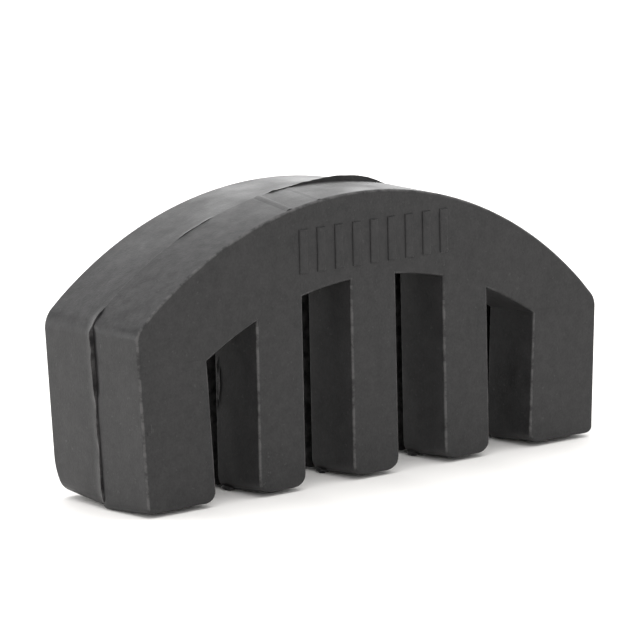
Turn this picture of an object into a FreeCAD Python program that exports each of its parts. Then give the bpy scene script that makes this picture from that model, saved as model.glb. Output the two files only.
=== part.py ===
import FreeCAD, Part
import math
import os

# Practice mute for a bowed string instrument, moulded in one piece of black rubber.
# Millimetres. X runs along the mute, Y through its thickness (front face at -Y), Z up.
# The origin is under the middle of the block, at the height of the prong tips.

# Overall block
thickness = 18.6
half_length = 38.0            # to the upper corner of each end face
end_lean = math.radians(3.1)  # end prongs lean towards the middle, going down
mould_draft = 0.25            # the outline grows this much from a face to the parting plane
parting_y = -0.6              # the parting plane lies a little in front of the middle

# Crown, one arc whose top is off centre, so the left end face is the taller one
crown_radius = 53.5
crown_top_x = -2.4
crown_top_z = 36.6

# Prongs and the slots for the strings
prong_pitch = 15.35
prong_width = 7.5
end_prong_inner_x = 27.05     # measured at lean_height
lean_height = 20.0
slot_arc_radius = 51.0
slot_arc_x = -0.6
slot_arc_top_z = 25.66

# Pocket for the bridge, open at the prong tips
pocket_width = 2.6
pocket_half_length = 34.0
pocket_above_slots = 1.6

# Where the inner prongs leave the arch
root_below_slot = 0.6

# Rounding of the prong tips
tip_corner_radius = 1.8
tip_face_radius = 0.8

overrun = 5.0                 # how far a cutting shape runs past what it cuts


def arc_height(x, radius, top_x, top_z):
    """Height at x of an arc given by its radius and its highest point."""
    return top_z - radius + math.sqrt(radius ** 2 - (x - top_x) ** 2)


def crown_height(x, grow):
    return arc_height(x, crown_radius + grow, crown_top_x, crown_top_z + grow)


def slot_height(x):
    return arc_height(x, slot_arc_radius, slot_arc_x, slot_arc_top_z)


def outline(y, grow):
    """Closed outline of the block at depth y, grown outwards, running on below the tips."""
    reach = half_length + grow
    corners = []
    for side in (-1, 1):
        top_z = crown_height(side * reach, grow)
        foot_x = side * (reach - (top_z + overrun) * math.tan(end_lean))
        foot = FreeCAD.Vector(foot_x, y, -overrun)
        corners.append((foot, FreeCAD.Vector(side * reach, y, top_z)))
    (left_foot, left_top), (right_foot, right_top) = corners
    crown_top = FreeCAD.Vector(crown_top_x, y, crown_top_z + grow)
    edges = [
        Part.LineSegment(left_foot, left_top).toShape(),
        Part.Arc(left_top, crown_top, right_top).toShape(),
        Part.LineSegment(right_top, right_foot).toShape(),
        Part.LineSegment(right_foot, left_foot).toShape(),
    ]
    return Part.Wire(edges)


def slot_walls():
    """X of the two walls of each slot at a height, as pairs of (x at tip level, x per mm up)."""
    lean = math.tan(end_lean)
    inner = prong_width / 2
    near = prong_pitch - prong_width / 2
    far = prong_pitch + prong_width / 2
    outer = end_prong_inner_x - lean_height * lean
    right = [((inner, 0.0), (near, 0.0)), ((far, 0.0), (outer, lean))]
    left = [((-b[0], -b[1]), (-a[0], -a[1])) for a, b in reversed(right)]
    return left + right


def slot_outline(walls, y, shrink):
    """Closed outline of one string slot at depth y, open well below the tips."""
    (x_left, slope_left), (x_right, slope_right) = walls
    points = []
    for x_tip, slope, side in ((x_left, slope_left, 1), (x_right, slope_right, -1)):
        wall_x = x_tip + side * shrink
        top_x = wall_x + slope * slot_height(wall_x)
        top = FreeCAD.Vector(top_x, y, slot_height(top_x) - shrink)
        foot = FreeCAD.Vector(wall_x - slope * overrun, y, -overrun)
        points.append((foot, top))
    (left_foot, left_top), (right_foot, right_top) = points
    return Part.makePolygon([left_foot, left_top, right_top, right_foot, left_foot])


def pocket():
    """The slot for the bridge, with an arched roof a little above the string slots."""
    roof_radius = slot_arc_radius + pocket_above_slots
    axis_z = slot_arc_top_z - slot_arc_radius
    block = Part.makeBox(
        2 * pocket_half_length,
        pocket_width,
        roof_radius + axis_z + 2 * overrun,
        FreeCAD.Vector(-pocket_half_length, -pocket_width / 2, -overrun),
    )
    roof = Part.makeCylinder(
        roof_radius,
        thickness,
        FreeCAD.Vector(slot_arc_x, -thickness / 2, axis_z),
        FreeCAD.Vector(0, 1, 0),
    )
    return block.common(roof)


def moulded_half(side):
    """Front half (side -1) or rear half (side 1), from the parting plane to its face."""
    face_y = side * thickness / 2
    half = Part.makeLoft([outline(parting_y, mould_draft), outline(face_y, 0.0)], True, True)
    for walls in slot_walls():
        sections = [slot_outline(walls, parting_y, mould_draft), slot_outline(walls, face_y, 0.0)]
        half = half.cut(Part.makeLoft(sections, True, True))
    return half.cut(pocket()).common(above_tips())


def above_tips():
    """Everything above the flat plane of the prong tips."""
    reach = 2 * half_length
    return Part.makeBox(2 * reach, 2 * reach, 2 * reach, FreeCAD.Vector(-reach, -reach, 0))


def finger_root(index):
    """Height at which an inner prong leaves the arch: its lower neighbouring slot top."""
    centre = (index - 2) * prong_pitch
    walls = [centre - prong_width / 2, centre + prong_width / 2]
    return min(slot_height(x) for x in walls) - root_below_slot


def finger_zone(index):
    """Box that holds one inner prong below its root, through the whole thickness."""
    centre = (index - 2) * prong_pitch
    width = prong_width + 3 * mould_draft
    return Part.makeBox(
        width,
        2 * thickness,
        finger_root(index) + overrun,
        FreeCAD.Vector(centre - width / 2, -thickness, -overrun),
    )


def crosses_half(edge):
    """True for an edge that runs from the outer face to the pocket or the parting plane."""
    return edge.BoundBox.YLength > thickness / 3


def at_tips(edge):
    return edge.BoundBox.ZMax < 1e-3


def round_tips(shape):
    """Round the corners of the prong tips, then their edge along the outer face."""
    corner_edges = [e for e in shape.Edges if at_tips(e) and crosses_half(e)]
    rounded = shape.makeFillet(tip_corner_radius, corner_edges)
    outer_y = thickness / 2 - 1e-3
    face_edges = []
    for edge in rounded.Edges:
        on_face = abs(edge.BoundBox.YMin) > outer_y and abs(edge.BoundBox.YMax) > outer_y
        if at_tips(edge) and on_face:
            face_edges.append(edge)
    return rounded.makeFillet(tip_face_radius, face_edges)


os.makedirs("parts", exist_ok=True)

for side, name in ((-1, "front"), (1, "rear")):
    whole = moulded_half(side)
    arch = whole
    for index in (1, 2, 3):
        zone = finger_zone(index)
        finger = whole.common(zone)
        arch = arch.cut(zone)
        round_tips(finger.Solids[0]).exportStep(f"parts/{name}_finger_{index}.step")
    round_tips(arch.Solids[0]).exportStep(f"parts/{name}_half.step")
    print(name, len(arch.Solids), round(whole.Volume), [finger_root(i) for i in (1, 2, 3)])
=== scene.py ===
import math

import bmesh
import bpy
from mathutils import Matrix, Vector, noise


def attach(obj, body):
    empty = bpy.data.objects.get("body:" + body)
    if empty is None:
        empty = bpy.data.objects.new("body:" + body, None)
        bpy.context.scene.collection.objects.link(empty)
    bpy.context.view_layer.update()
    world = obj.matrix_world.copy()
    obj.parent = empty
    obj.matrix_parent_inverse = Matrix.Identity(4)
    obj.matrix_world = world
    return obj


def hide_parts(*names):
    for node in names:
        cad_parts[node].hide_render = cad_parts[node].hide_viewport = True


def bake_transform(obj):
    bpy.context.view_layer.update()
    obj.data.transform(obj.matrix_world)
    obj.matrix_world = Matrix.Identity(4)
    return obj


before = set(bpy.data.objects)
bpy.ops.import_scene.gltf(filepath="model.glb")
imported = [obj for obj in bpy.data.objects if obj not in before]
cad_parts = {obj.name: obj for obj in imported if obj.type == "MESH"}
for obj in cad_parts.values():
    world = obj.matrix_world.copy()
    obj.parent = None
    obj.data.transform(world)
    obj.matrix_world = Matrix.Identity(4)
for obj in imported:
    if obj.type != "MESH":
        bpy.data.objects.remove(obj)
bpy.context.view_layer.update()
print("frame loaded")

mm = 0.001

# the block, in millimetres, as the CAD has it
block = {
    "halfLength": 38.0,
    "thickness": 18.6,
    "endLean": math.radians(3.1),
    "partingY": -0.6,
    "faceDraft": 0.25,       # how much the outline shrinks from the parting plane to a face
    "crownRadius": 53.5,
    "crownTopX": -2.4,
    "crownTopZ": 36.6,
    "crownSteps": 96,
    "cornerReach": 2.6,      # the crown's points stop this far from each end, to leave room for rounding
    "endFrom": 35.4,         # anything further out than this belongs to an end
}

# the four string slots; the walls of the end prongs lean with the ends
combSlots = {
    "pitch": 15.35,
    "prongWidth": 7.5,
    "endProngInnerX": 27.05,            # at leanHeight above the tips
    "leanHeight": 20.0,
    "arcRadius": 51.0,
    "arcX": -0.6,
    "arcTopZ": 25.66,
    "roofSteps": 4,
}

# the slot for the bridge, along the middle of the prongs
bridgePocket = {"width": 2.6, "halfLength": 34.0, "aboveSlots": 1.6, "roofSteps": 28}

edges = {
    "tipCorner": 1.9,        # rounding of the prong tips seen from the front
    "frontOuterTip": 0.9,
    "tipSteps": 6,
    "faceEdge": 0.34,        # rounding of the outline of each face
    "faceSteps": 3,
    "tipLift": 0.35,         # how much higher the tips are at the faces than at the middle
    "tipLiftReach": 1.5,
    "tipWave": 0.15,         # the tips' undersides are slightly wavy
    "tipWaveSize": 2.3,
    "tipWaveStep": 1.1,
    "tipWaveRows": 6,
    "crownCorner": {-1: 1.0, 1: 1.4},   # where the ends turn into the crown, front half and rear half
    "heelHeight": 5.5,       # the rear half's ends pull in above their tips
    "heelDepth": 1.7,
    "heelSpan": (29.0, 36.5),
}

# the moulding line: the rear half stands proud of the front half with a torn lip, and the crown has flash on it
seam = {
    "levels": (0.18, 0.42, 0.92, 1.4, 2.1),
    "endStep": 0.7,
    "skinDepth": 0.6,        # the crown's skin is no deeper than this
    "tipReach": 1.2,         # the line fades out this close to the tips
    "roughSize": 1.6,
    "endBlend": (35.9, 36.7),
    "endLip": 0.2,           # how far the lip stands out on the ends, and how much that varies
    "endRough": 0.5,
    "tornLip": 0.34,         # the same for the torn stretch of the left end
    "tornRough": 0.6,
    "tornFrom": (14.4, 14.9),
    "tornTo": (22.3, 23.1),
    "lipReach": {"crown": 0.42, "end": 0.9},
    "lean": 0.12,            # how far the lip leans over the front half
    "leanRough": 0.16,
    "leanTorn": -0.16,
    "leanSize": 2.6,
    "leanReach": 0.5,
    "flashTurn": -1.0,
    "flashRough": (0.5, 0.07),          # left of flashTurn and right of it
    "flashSize": 0.7,
    "flashPoints": ((-24.2, 0.0), (-23.4, 0.13), (-21.0, 0.05), (-19.5, 0.1), (-18.7, 0.0), (-9.8, 0.0),
                    (-9.2, 0.16), (-7.5, 0.1), (-5.0, 0.2), (-2.5, 0.34), (0.0, 0.56), (2.0, 0.68), (4.5, 0.7),
                    (6.5, 0.6), (8.0, 0.34), (9.5, 0.0)),
    "grooveStart": 0.1,      # the groove in the front half, on the ends and in the torn stretch
    "groove": 0.1,
    "tornGroove": 0.34,
    "grooveWidth": 0.45,
    "tornWidth": 0.55,       # wider by this much there
    "tornWidthRough": 0.4,
}

# how much each place is painted lighter, from 0 to 1: a painted highlight on the rim of each face, the pocket's
# edges and the lip, and light dust on the crown; crownFrom is the height where the crown begins
highlightAndCrownDust = {"rim": 1.0, "pocketAndLip": 0.8, "crown": 0.15, "crownFrom": 20.0, "lipTo": -25.0}

# the six inner fingers are cut off this far below their slots, with edge loops over bendLength below the cut
fingers = {"rootBelowSlot": 0.6, "bendLength": 5.0, "bendSteps": 10, "bigFace": 40}


def arcHeight(x, radius, topX, topZ):
    return topZ - radius + math.sqrt(radius ** 2 - (x - topX) ** 2)


def crownHeight(x, grow=0.0):
    return arcHeight(x, block["crownRadius"] + grow, block["crownTopX"], block["crownTopZ"] + grow)


def slotHeight(x, grow=0.0):
    return arcHeight(x, combSlots["arcRadius"] + grow, combSlots["arcX"], combSlots["arcTopZ"] + grow)


def slotWalls():
    # each slot as its left and right wall, each wall as x at tip level and lean per millimetre
    lean = math.tan(block["endLean"])
    inner = combSlots["prongWidth"] / 2
    near = combSlots["pitch"] - inner
    far = combSlots["pitch"] + inner
    outer = combSlots["endProngInnerX"] - combSlots["leanHeight"] * lean
    right = [((inner, 0.0), (near, 0.0)), ((far, 0.0), (outer, lean))]
    left = [((-b[0], -b[1]), (-a[0], -a[1])) for a, b in reversed(right)]
    return left + right


def combOutline(grow):
    # the whole comb seen from the front, grown outwards and into the slots
    reach = block["halfLength"] + grow
    points = []
    inside = reach - block["cornerReach"]
    points.append((-reach, crownHeight(-reach, grow)))
    for step in range(block["crownSteps"] + 1):
        x = -inside + 2 * inside * step / block["crownSteps"]
        points.append((x, crownHeight(x, grow)))
    points.append((reach, crownHeight(reach, grow)))
    lean = math.tan(block["endLean"])
    footRight = reach - points[-1][1] * lean
    footLeft = -reach + points[0][1] * lean
    points.append((footRight, 0.0))
    for (xLeft, leanLeft), (xRight, leanRight) in reversed(slotWalls()):
        xLeft, xRight = xLeft + grow, xRight - grow
        topRight = xRight + leanRight * slotHeight(xRight)
        topLeft = xLeft + leanLeft * slotHeight(xLeft)
        points.append((xRight, 0.0))
        for step in range(combSlots["roofSteps"] + 1):
            x = topRight + (topLeft - topRight) * step / combSlots["roofSteps"]
            points.append((x, slotHeight(x) - grow))
        points.append((xLeft, 0.0))
    points.append((footLeft, 0.0))
    return points


def meshFromBmesh(bm, name):
    mesh = bpy.data.meshes.new(name)
    bm.to_mesh(mesh)
    bm.free()
    return mesh


def newObject(name, mesh):
    piece = bpy.data.objects.new(name, mesh)
    bpy.context.scene.collection.objects.link(piece)
    return piece


def isEnd(face):
    return all(abs(v.co.x) > block["endFrom"] * mm for v in face.verts)


def bisectFaces(bm, faces, place, normal):
    # edges and vertices once each and in order, so that the mesh comes out the same on each run
    geom = faces + list(dict.fromkeys(e for f in faces for e in f.edges))
    geom += list(dict.fromkeys(v for f in faces for v in f.verts))
    bmesh.ops.bisect_plane(bm, geom=geom, dist=1e-7, plane_co=place, plane_no=normal)


def addSeamLoops(bm, side):
    # loops beside the moulding line, and rungs up the ends, for the lip to bend
    for level in seam["levels"]:
        bisectFaces(bm, list(bm.faces), (0, (block["partingY"] + side * level) * mm, 0), (0, 1, 0))
    steps = int(block["crownTopZ"] / seam["endStep"])
    for step in range(1, steps):
        ends = [f for f in bm.faces if isEnd(f)]
        bisectFaces(bm, ends, (0, 0, step * seam["endStep"] * mm), (0, 0, 1))


def addTipGrid(bm, side):
    # cuts across the undersides of the tips, for the wave in them
    steps = int(block["halfLength"] / edges["tipWaveStep"])
    for step in range(-steps, steps + 1):
        tips = [f for f in bm.faces if all(v.co.z < edges["tipCorner"] * mm for v in f.verts)]
        bisectFaces(bm, tips, (step * edges["tipWaveStep"] * mm, 0, 0), (1, 0, 0))
    start = seam["levels"][-1] + edges["tipWaveStep"]
    for step in range(edges["tipWaveRows"]):
        tips = [f for f in bm.faces if all(v.co.z < edges["tipCorner"] * mm for v in f.verts)]
        y = block["partingY"] + side * (start + step * edges["tipWaveStep"])
        bisectFaces(bm, tips, (0, y * mm, 0), (0, 1, 0))


def between(points, x):
    for (x0, y0), (x1, y1) in zip(points, points[1:]):
        if x0 <= x <= x1:
            return y0 + (y1 - y0) * (x - x0) / (x1 - x0)
    return 0.0


def ragged(x, z, size, seed):
    return noise.noise(Vector((x / size, seed, z / size)))


def easeOut(distance, reach):
    t = min(1.0, max(0.0, distance / reach))
    return 1 - t * t * (3 - 2 * t)


def rise(value, low, high):
    return min(1.0, max(0.0, (value - low) / (high - low)))


def seamShape(x, z):
    # lip height, how far its edge leans over the front half, and the depth and width of the groove in front
    onEnd = rise(abs(x), *seam["endBlend"])
    torn = rise(z, *seam["tornFrom"]) * (1 - rise(z, *seam["tornTo"]))
    torn *= onEnd if x < 0 else 0
    rough = ragged(x, z, seam["roughSize"], 3.7)
    endLip = seam["endLip"] * (1 + seam["endRough"] * rough)
    endLip += (seam["tornLip"] - seam["endLip"]) * torn * (1 + seam["tornRough"] * rough)
    jagged = seam["flashRough"][0 if x < seam["flashTurn"] else 1]
    crownLip = between(seam["flashPoints"], x) * (1 + jagged * ragged(x, z, seam["flashSize"], 5.1))
    lip = crownLip + (endLip - crownLip) * onEnd
    lean = seam["lean"] + seam["leanRough"] * ragged(x, z, seam["leanSize"], 9.1) + seam["leanTorn"] * torn
    depth = seam["groove"] * onEnd + (seam["tornGroove"] - seam["groove"]) * torn
    width = seam["grooveWidth"] + seam["tornWidth"] * torn * (1 + seam["tornWidthRough"] * rough)
    return lip, onEnd * lean, depth, width


def crownRadiusAt(x, z):
    return math.hypot(x - block["crownTopX"], z - block["crownTopZ"] + block["crownRadius"])


def dressSeam(mesh, side):
    # the skin beside the moulding line: the rear half goes up into a lip, the front half down into a groove
    normals = [v.normal.copy() for v in mesh.vertices]
    for vert, normal in zip(mesh.vertices, normals):
        x, y, z = vert.co / mm
        onEnd = abs(x) > block["endFrom"]
        onSkin = onEnd or crownRadiusAt(x, z) > block["crownRadius"] - seam["skinDepth"]
        away = side * (y - block["partingY"])
        nearSeam = -0.05 <= away <= seam["levels"][-1] + 0.1
        outward = Vector((normal.x, 0, normal.z))
        if not nearSeam or not onSkin or outward.length < 0.2:
            continue
        outward.normalize()
        lip, lean, depth, width = seamShape(x, z)
        outward *= rise(z, 0, seam["tipReach"]) * mm
        if side == 1:
            vert.co += outward * lip * easeOut(away, seam["lipReach"]["end" if onEnd else "crown"])
            vert.co.y -= lean * easeOut(away, seam["leanReach"]) * mm
        else:
            vert.co -= outward * depth * easeOut(away - seam["grooveStart"], width)


def markHighlightAndCrownDust(mesh, side):
    # a painted highlight, a little lighter than the rest, where edges catch the light: the rim of each face,
    # the pocket's edges and the lip; and light dust on the crown
    paintedHighlightAndDust = mesh.attributes.new("paintedHighlightAndDust", "FLOAT", "POINT")
    for vert, value in zip(mesh.vertices, paintedHighlightAndDust.data):
        x, y, z = vert.co / mm
        inset = block["thickness"] / 2 - abs(y)
        onRim = 0.02 < inset < edges["faceEdge"] * 0.8 and vert.normal.z > -0.3
        onPocket = abs(abs(y) - bridgePocket["width"] / 2) < 0.01
        onLip = side == 1 and (x < highlightAndCrownDust["lipTo"] or x > block["endFrom"]) and y - block["partingY"] < 0.1
        onCrown = z > highlightAndCrownDust["crownFrom"] and crownRadiusAt(x, z) > block["crownRadius"] - 0.1
        if onRim:
            value.value = highlightAndCrownDust["rim"]
        elif onPocket or onLip:
            value.value = highlightAndCrownDust["pocketAndLip"]
        elif onCrown and inset > 0.1:
            value.value = highlightAndCrownDust["crown"]


def roundEdges(bm, chosen, offset, segments):
    bmesh.ops.bevel(bm, geom=chosen, offset=offset * mm, segments=segments, profile=0.5, affect="EDGES",
                    material=-1)


def runsThrough(edge):
    # an edge from the parting plane towards a face
    return abs(edge.verts[0].co.y - edge.verts[1].co.y) > 1 * mm


def combHalf(side):
    # side -1 is the front half; the outline on the parting plane is inset, and the inset face is drawn out
    bm = bmesh.new()
    outline = combOutline(block["faceDraft"])
    parting = block["partingY"]
    depth = side * block["thickness"] / 2 - parting
    face = bm.faces.new([bm.verts.new((x * mm, parting * mm, z * mm)) for x, z in outline])
    face.normal_update()
    bmesh.ops.inset_region(bm, faces=[face], thickness=block["faceDraft"] * mm, use_boundary=True,
                           use_even_offset=True)
    bmesh.ops.translate(bm, verts=face.verts, vec=(0, depth * mm, 0))
    bmesh.ops.edgeloop_fill(bm, edges=[e for e in bm.edges if e.is_boundary])
    tipEdges = [e for e in bm.edges if max(v.co.z for v in e.verts) < 0.5 * mm and runsThrough(e)]
    outer = [e for e in tipEdges if side == -1 and abs(e.verts[0].co.x) > bridgePocket["halfLength"] * mm]
    roundEdges(bm, [e for e in tipEdges if e not in outer], edges["tipCorner"], edges["tipSteps"])
    roundEdges(bm, [e for e in outer if e.is_valid], edges["frontOuterTip"], edges["tipSteps"])
    atEnd = (block["halfLength"] - 0.5) * mm
    corners = [e for e in bm.edges
               if runsThrough(e) and all(abs(v.co.x) > atEnd and v.co.z > 10 * mm for v in e.verts)]
    roundEdges(bm, corners, edges["crownCorner"][side], edges["tipSteps"])
    faceY = side * block["thickness"] / 2 * mm
    faceEdges = [e for e in bm.edges if all(abs(v.co.y - faceY) < 1e-6 for v in e.verts)]
    roundEdges(bm, faceEdges, edges["faceEdge"], edges["faceSteps"])
    addSeamLoops(bm, side)
    addTipGrid(bm, side)
    for vert in bm.verts:
        low = max(0.0, 1 - vert.co.z / (edges["tipLiftReach"] * mm))
        out = (vert.co.y - parting * mm) / (depth * mm)
        wave = noise.noise(Vector((vert.co.x, vert.co.y, side * mm)) / (edges["tipWaveSize"] * mm))
        vert.co.z += (edges["tipLift"] * max(0.0, out) ** 2 + edges["tipWave"] * max(0.0, wave)) * mm * low
        if side == 1:
            heel = max(0.0, 1 - vert.co.z / (edges["heelHeight"] * mm)) ** 2 * max(0.0, out)
            heel *= rise(abs(vert.co.x) / mm, *edges["heelSpan"])
            vert.co.x -= math.copysign(edges["heelDepth"] * mm * heel, vert.co.x)
    bmesh.ops.recalc_face_normals(bm, faces=bm.faces)
    return meshFromBmesh(bm, "combHalf")


def pocketCutter():
    bm = bmesh.new()
    reach = bridgePocket["halfLength"]
    points = [(reach, -5.0), (-reach, -5.0)]
    for step in range(bridgePocket["roofSteps"] + 1):
        x = -reach + 2 * reach * step / bridgePocket["roofSteps"]
        points.append((x, slotHeight(x, bridgePocket["aboveSlots"])))
    low = -bridgePocket["width"] / 2
    face = bm.faces.new([bm.verts.new((x * mm, low * mm, z * mm)) for x, z in points])
    grown = bmesh.ops.extrude_face_region(bm, geom=[face])
    top = [g for g in grown["geom"] if isinstance(g, bmesh.types.BMVert)]
    bmesh.ops.translate(bm, verts=top, vec=(0, bridgePocket["width"] * mm, 0))
    bmesh.ops.recalc_face_normals(bm, faces=bm.faces)
    return meshFromBmesh(bm, "pocketCutter")


def cutPocket(mesh):
    body = newObject("cutBody", mesh)
    cutter = newObject("cutTool", pocketCutter())
    cut = body.modifiers.new("pocket", "BOOLEAN")
    cut.operation = "DIFFERENCE"
    cut.solver = "EXACT"
    cut.object = cutter
    bpy.context.view_layer.update()
    result = bpy.data.meshes.new_from_object(body.evaluated_get(bpy.context.evaluated_depsgraph_get()))
    bpy.data.objects.remove(body)
    bpy.data.objects.remove(cutter)
    return result


def fingerCentre(index):
    # the fingers are 1 to 3 from left to right
    return (index - 2) * combSlots["pitch"]


def fingerRoot(index):
    centre = fingerCentre(index)
    half = combSlots["prongWidth"] / 2
    return min(slotHeight(centre - half), slotHeight(centre + half)) - fingers["rootBelowSlot"]


def inFinger(face, index):
    centre = fingerCentre(index) * mm
    middle = face.calc_center_median()
    reach = (combSlots["prongWidth"] / 2 + 2 * block["faceDraft"]) * mm
    return abs(middle.x - centre) < reach and middle.z < fingerRoot(index) * mm


def cutAtRoots(bm):
    # an edge loop round each inner prong at its root, and more below it where it bends; the big faces that
    # span the whole block are cut with them
    for index in (1, 2, 3):
        centre = fingerCentre(index) * mm
        reach = combSlots["prongWidth"] * mm
        for step in range(fingers["bendSteps"] + 1):
            level = fingers["bendLength"] * step / fingers["bendSteps"]
            zone = [f for f in bm.faces if abs(f.calc_center_median().x - centre) < reach
                    or len(f.verts) > fingers["bigFace"]]
            bisectFaces(bm, zone, (0, 0, (fingerRoot(index) - level) * mm), (0, 0, 1))


def putInOrder(bm):
    # the boolean gives the same shape on each run, but not in the same order
    for items, key in ((bm.verts, lambda v: tuple(v.co)),
                       (bm.edges, lambda e: sorted(v.index for v in e.verts)),
                       (bm.faces, lambda f: sorted(v.index for v in f.verts))):
        for place, item in enumerate(sorted(items, key=key)):
            item.index = place
        items.sort()


def splitComb(mesh, name):
    pieces = {}
    whole = bmesh.new()
    whole.from_mesh(mesh)
    putInOrder(whole)
    cutAtRoots(whole)
    for index in (0, 1, 2, 3):
        bm = whole.copy()
        if index:
            drop = [f for f in bm.faces if not inFinger(f, index)]
        else:
            drop = [f for f in bm.faces if any(inFinger(f, i) for i in (1, 2, 3))]
        bmesh.ops.delete(bm, geom=drop, context="FACES")
        bmesh.ops.holes_fill(bm, edges=[e for e in bm.edges if e.is_boundary], sides=0)
        bmesh.ops.recalc_face_normals(bm, faces=bm.faces)
        pieces[index] = meshFromBmesh(bm, f"{name}_{index}")
    whole.free()
    return pieces


def finishSurface(piece, angle=38):
    piece.data.shade_smooth()
    piece.data.set_sharp_from_angle(angle=math.radians(angle))
    weighted = piece.modifiers.new("weightedNormals", "WEIGHTED_NORMAL")
    weighted.keep_sharp = True
    weighted.weight = 80


# the rubber

rubberLook = {
    "base": (0.008, 0.008, 0.0084, 1),
    "dusty": (0.030, 0.029, 0.0295, 1),
    # the lighter tone for the painted highlight on edges, the lip and slivers, and for the dust on the crown
    "highlightAndDust": (0.068, 0.066, 0.066, 1),
    "roughness": (0.41, 0.56),
    "specular": 0.31,
}


def nodeIn(tree, kind, **values):
    node = tree.nodes.new(kind)
    for key, value in values.items():
        if key in node.inputs:
            node.inputs[key].default_value = value
        else:
            setattr(node, key, value)
    return node


def rubberMaterial():
    material = bpy.data.materials.new("mouldedRubber")
    material.use_nodes = True
    tree = material.node_tree
    tree.nodes.clear()
    link = tree.links.new
    output = nodeIn(tree, "ShaderNodeOutputMaterial")
    shader = nodeIn(tree, "ShaderNodeBsdfPrincipled")
    shader.inputs["Specular IOR Level"].default_value = rubberLook["specular"]
    link(shader.outputs[0], output.inputs[0])
    coords = nodeIn(tree, "ShaderNodeTexCoord")

    def noiseAt(scale, detail=4.0, rough=0.6):
        node = nodeIn(tree, "ShaderNodeTexNoise", Scale=scale, Detail=detail, Roughness=rough)
        link(coords.outputs["Object"], node.inputs["Vector"])
        return node

    def ramp(source, low, high, lowValue, highValue):
        node = nodeIn(tree, "ShaderNodeMapRange")
        for key, value in (("From Min", low), ("From Max", high), ("To Min", lowValue), ("To Max", highValue)):
            node.inputs[key].default_value = value
        link(source, node.inputs["Value"])
        return node.outputs[0]

    def combine(operation, first, second):
        node = nodeIn(tree, "ShaderNodeMath", operation=operation)
        link(first, node.inputs[0])
        link(second, node.inputs[1])
        return node.outputs[0]

    clouds = noiseAt(140.0)
    mottle = noiseAt(650.0, detail=5.0, rough=0.7)
    grain = noiseAt(3200.0, detail=3.0)
    specks = noiseAt(1500.0, detail=2.0)
    paintedHighlightAndDust = nodeIn(tree, "ShaderNodeAttribute", attribute_name="paintedHighlightAndDust")
    dust = combine("ADD", ramp(clouds.outputs[0], 0.35, 0.7, 0.0, 0.3),
                   ramp(mottle.outputs[0], 0.35, 0.7, 0.0, 0.4))
    dust = combine("ADD", dust, ramp(grain.outputs[0], 0.35, 0.7, 0.0, 0.3))
    dust = combine("MAXIMUM", dust, ramp(specks.outputs[0], 0.63, 0.7, 0.0, 1.0))
    # how much painted highlight, and dust on the crown, each place gets, broken up by the mottle
    highlightAndDust = combine("MULTIPLY", paintedHighlightAndDust.outputs["Fac"], ramp(mottle.outputs[0], 0.4, 0.64, 0.1, 1.3))
    dusty = nodeIn(tree, "ShaderNodeMix", data_type="RGBA")
    dusty.inputs["A"].default_value = rubberLook["base"]
    dusty.inputs["B"].default_value = rubberLook["dusty"]
    link(dust, dusty.inputs["Factor"])
    colour = nodeIn(tree, "ShaderNodeMix", data_type="RGBA")
    link(dusty.outputs["Result"], colour.inputs["A"])
    colour.inputs["B"].default_value = rubberLook["highlightAndDust"]
    link(highlightAndDust, colour.inputs["Factor"])
    link(colour.outputs["Result"], shader.inputs["Base Color"])
    link(ramp(clouds.outputs[0], 0.3, 0.7, *rubberLook["roughness"]), shader.inputs["Roughness"])
    coarse = nodeIn(tree, "ShaderNodeBump", Strength=0.5, Distance=0.0006)
    fine = nodeIn(tree, "ShaderNodeBump", Strength=0.35, Distance=0.00006)
    link(noiseAt(90.0, detail=2.0).outputs[0], coarse.inputs["Height"])
    link(grain.outputs[0], fine.inputs["Height"])
    link(coarse.outputs[0], fine.inputs["Normal"])
    link(fine.outputs[0], shader.inputs["Normal"])
    return material


rubber = rubberMaterial()
print("rubber ready")

halves = {"front": -1, "rear": 1}
for name, side in halves.items():
    parts = splitComb(cutPocket(combHalf(side)), name)
    dressSeam(parts[0], side)
    for part in parts.values():
        markHighlightAndCrownDust(part, side)
    arch = newObject(f"{name}_arch_skin", parts[0])
    arch.data.materials.clear()
    arch.data.materials.append(rubber)
    finishSurface(arch)
    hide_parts(f"{name}_half")
    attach(arch, "arch")
    for index in (1, 2, 3):
        body = f"{name}_finger_{index}"
        skin = newObject(f"{body}_skin", parts[index])
        skin.data.materials.clear()
        skin.data.materials.append(rubber)
        finishSurface(skin)
        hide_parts(body)
        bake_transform(skin)
print("comb ready")

# what the mould left on the surface

# a plain row of upright ribs on the front, under the crown; the centre is x and z
ribs = {"count": 9, "pitch": 2.9, "size": (1.3, 1.0, 5.6), "proud": 0.2, "centre": (0.2, 30.1), "edge": 0.18}

# faint ridges over the front half of the crown, each as x at the moulding line and x at the face
witness = {"lines": ((-11.4, -13.2), (-6.6, -8.4)), "width": 2.0, "proud": (0.15, 0.08), "sunk": 0.1,
           "toFace": 0.3, "steps": 8}

# torn scraps of flash under the fingers' inner corners
flashTags = {"size": (0.7, 1.0, 0.45), "fromCentre": 3.1, "fromPocket": 0.85, "height": 0.4}

# a loose flake on the front edge of the left end
flake = {"place": (-36.35, -9.27, 11.0), "size": (0.5, 0.12, 0.8), "seed": 3.0}

# thin strings of flash on the first finger's side, each as y and z of its middle and half its length; they are
# painted lighter, a painted highlight for the light they catch
slivers = {"places": ((-1.3, 15.4, 1.7), (-1.75, 13.6, 2.2), (-1.2, 11.6, 1.3)), "x": -19.4, "thick": 0.09,
           "bend": 0.5, "bendRate": 0.6, "highlightAndDust": 0.9}


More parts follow.
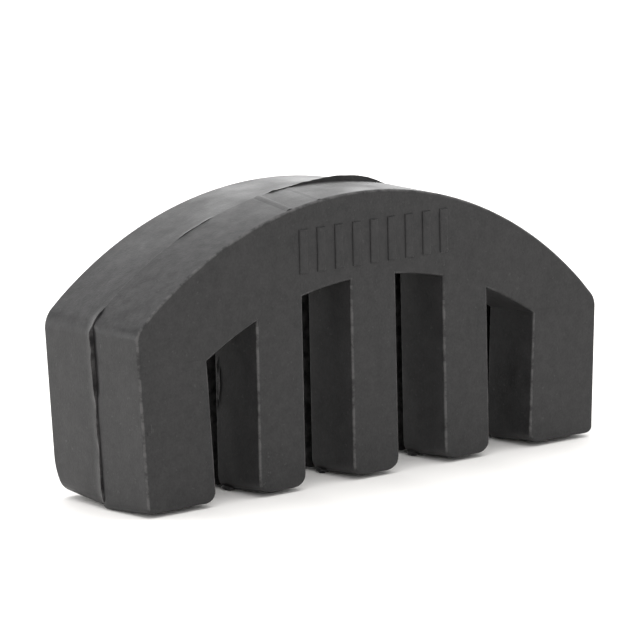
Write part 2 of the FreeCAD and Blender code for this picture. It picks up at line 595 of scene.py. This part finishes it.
def addMark(name, bm, body="arch", highlightAndDust=0.0):
    bmesh.ops.recalc_face_normals(bm, faces=bm.faces)
    piece = newObject(name, meshFromBmesh(bm, name))
    # each mark carries the painted-highlight value given, 0 for none
    paintedHighlightAndDust = piece.data.attributes.new("paintedHighlightAndDust", "FLOAT", "POINT")
    for value in paintedHighlightAndDust.data:
        value.value = highlightAndDust
    piece.data.materials.append(rubber)
    finishSurface(piece)
    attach(piece, body)
    return piece


def boxIn(bm, centre, size):
    made = bmesh.ops.create_cube(bm, size=1.0)["verts"]
    bmesh.ops.scale(bm, vec=Vector(size) * mm, verts=made)
    bmesh.ops.translate(bm, vec=Vector(centre) * mm, verts=made)


def makeRibs():
    bm = bmesh.new()
    faceY = -block["thickness"] / 2
    middle = (ribs["count"] - 1) / 2
    for index in range(ribs["count"]):
        x = ribs["centre"][0] + (index - middle) * ribs["pitch"]
        boxIn(bm, (x, faceY + ribs["size"][1] / 2 - ribs["proud"], ribs["centre"][1]), ribs["size"])
    roundEdges(bm, [e for e in bm.edges if all(v.co.y < faceY * mm for v in e.verts)], ribs["edge"], 3)
    addMark("front_ribs", bm)


def ridgePoints(line, proud, t):
    # a low triangle standing on the crown, at one place between the moulding line and the face
    x = line[0] + (line[1] - line[0]) * t
    y = block["partingY"] - (block["thickness"] / 2 + block["partingY"] - witness["toFace"]) * t
    half = witness["width"] / 2
    grow = block["faceDraft"] * (1 - t)
    corners = ((-half, -witness["sunk"]), (0, proud), (half, -witness["sunk"]))
    return [Vector((x + across, y, crownHeight(x + across, grow) + up)) * mm for across, up in corners]


def makeWitnessLines():
    bm = bmesh.new()
    for line, proud in zip(witness["lines"], witness["proud"]):
        face = bm.faces.new([bm.verts.new(p) for p in ridgePoints(line, proud, 0)])
        for step in range(1, witness["steps"] + 1):
            grown = bmesh.ops.extrude_face_region(bm, geom=[face])["geom"]
            if step > 1:
                bmesh.ops.delete(bm, geom=[face], context="FACES_ONLY")
            face = next(g for g in grown if isinstance(g, bmesh.types.BMFace))
            for vert in face.verts:
                before = ridgePoints(line, proud, (step - 1) / witness["steps"])
                nearest = min(range(3), key=lambda i: (before[i] - vert.co).length)
                vert.co = ridgePoints(line, proud, step / witness["steps"])[nearest]
    addMark("crown_witness_lines", bm)


def makeScrap(name, body, place, size, seed):
    # a small torn lump, cut flat at the level of the tips
    bm = bmesh.new()
    made = bmesh.ops.create_icosphere(bm, subdivisions=3, radius=1.0)["verts"]
    for vert in made:
        vert.co *= 1 + 0.5 * noise.noise(vert.co * 1.7 + Vector((seed, seed * 0.4, 0)))
    bmesh.ops.scale(bm, vec=Vector(size) * mm, verts=made)
    bmesh.ops.translate(bm, vec=Vector(place) * mm, verts=made)
    for vert in made:
        vert.co.z = max(vert.co.z, 0.0)
    addMark(name, bm, body)


def makeFlashTag(name, side, index):
    x = fingerCentre(index) - flashTags["fromCentre"]
    y = side * (bridgePocket["width"] / 2 + flashTags["fromPocket"])
    body = f"{name}_finger_{index}"
    makeScrap(f"{body}_flash", body, (x, y, flashTags["height"]), flashTags["size"], index * 5.3 + side * 2.1)


def makeSlivers():
    bm = bmesh.new()
    for y, z, half in slivers["places"]:
        made = bmesh.ops.create_icosphere(bm, subdivisions=3, radius=1.0)["verts"]
        bmesh.ops.scale(bm, vec=Vector((slivers["thick"], slivers["thick"], half)) * mm, verts=made)
        for vert in made:
            bend = noise.noise(Vector((z, y, vert.co.z / mm * slivers["bendRate"]))) - 0.5
            vert.co += Vector((slivers["x"], y + slivers["bend"] * bend, z)) * mm
    addMark("front_finger_1_slivers", bm, "front_finger_1", slivers["highlightAndDust"])


makeRibs()
makeWitnessLines()
makeSlivers()
makeScrap("front_edge_flake", "arch", flake["place"], flake["size"], flake["seed"])
for name, side in halves.items():
    for index in (1, 2, 3):
        makeFlashTag(name, side, index)
print("mould marks ready")

# floor, lights and camera

studio = {
    "floorTone": (0.95, 0.935, 0.915, 1),
    "worldStrength": 0.94,
    "azimuth": -40.0,
    "elevation": 9.713,
    "roll": -1.219,
    "distance": 0.6905,
    "aim": (-0.00055, 0.00067, 0.01896),
    "lens": 306.2,
}


def makeFloor():
    bm = bmesh.new()
    bmesh.ops.create_grid(bm, x_segments=1, y_segments=1, size=3.0)
    floor = newObject("floor", meshFromBmesh(bm, "floor"))
    material = bpy.data.materials.new("paleFloor")
    material.use_nodes = True
    shader = material.node_tree.nodes["Principled BSDF"]
    shader.inputs["Base Color"].default_value = studio["floorTone"]
    shader.inputs["Roughness"].default_value = 0.8
    shader.inputs["Specular IOR Level"].default_value = 0.1
    floor.data.materials.append(material)


def areaLight(name, place, aim, size, power):
    data = bpy.data.lights.new(name, "AREA")
    data.shape = "RECTANGLE"
    data.size, data.size_y = size
    data.energy = power
    lamp = newObject(name, data)
    lamp.location = place
    lamp.rotation_euler = (Vector(aim) - Vector(place)).to_track_quat("-Z", "Y").to_euler()
    return lamp


def makeStudio():
    world = bpy.data.worlds.new("softStudio")
    world.use_nodes = True
    background = world.node_tree.nodes["Background"]
    background.inputs["Color"].default_value = (1, 1, 1, 1)
    background.inputs["Strength"].default_value = studio["worldStrength"]
    bpy.context.scene.world = world
    areaLight("topSoftbox", (0.0, 0.1, 1.0), (0, 0, 0), (1.2, 1.2), 9.0)
    areaLight("backdrop", (0.8, 0.95, 0.29), (0, 0, 0.1), (2.4, 0.55), 12.5)
    areaLight("leftBackdrop", (-1.0, 0.8, 0.22), (0, 0, 0.05), (1.2, 0.44), 5.2)
    areaLight("cameraSoftbox", (-0.5, -0.8, 0.34), (0, 0, 0), (0.9, 0.5), 1.6)
    bpy.context.scene.view_settings.view_transform = "Standard"


def makeCamera():
    azimuth, elevation, roll = (math.radians(studio[k]) for k in ("azimuth", "elevation", "roll"))
    back = Vector((math.sin(azimuth) * math.cos(elevation), -math.cos(azimuth) * math.cos(elevation),
                   math.sin(elevation)))
    data = bpy.data.cameras.new("camera")
    data.lens = studio["lens"]
    data.sensor_width = 36.0
    data.clip_start, data.clip_end = 0.05, 20.0
    camera = newObject("camera", data)
    camera.location = Vector(studio["aim"]) + back * studio["distance"]
    turn = (-back).to_track_quat("-Z", "Y").to_matrix() @ Matrix.Rotation(roll, 3, "Z")
    camera.rotation_euler = turn.to_euler()
    bpy.context.scene.camera = camera


makeFloor()
makeStudio()
makeCamera()
print("studio ready")
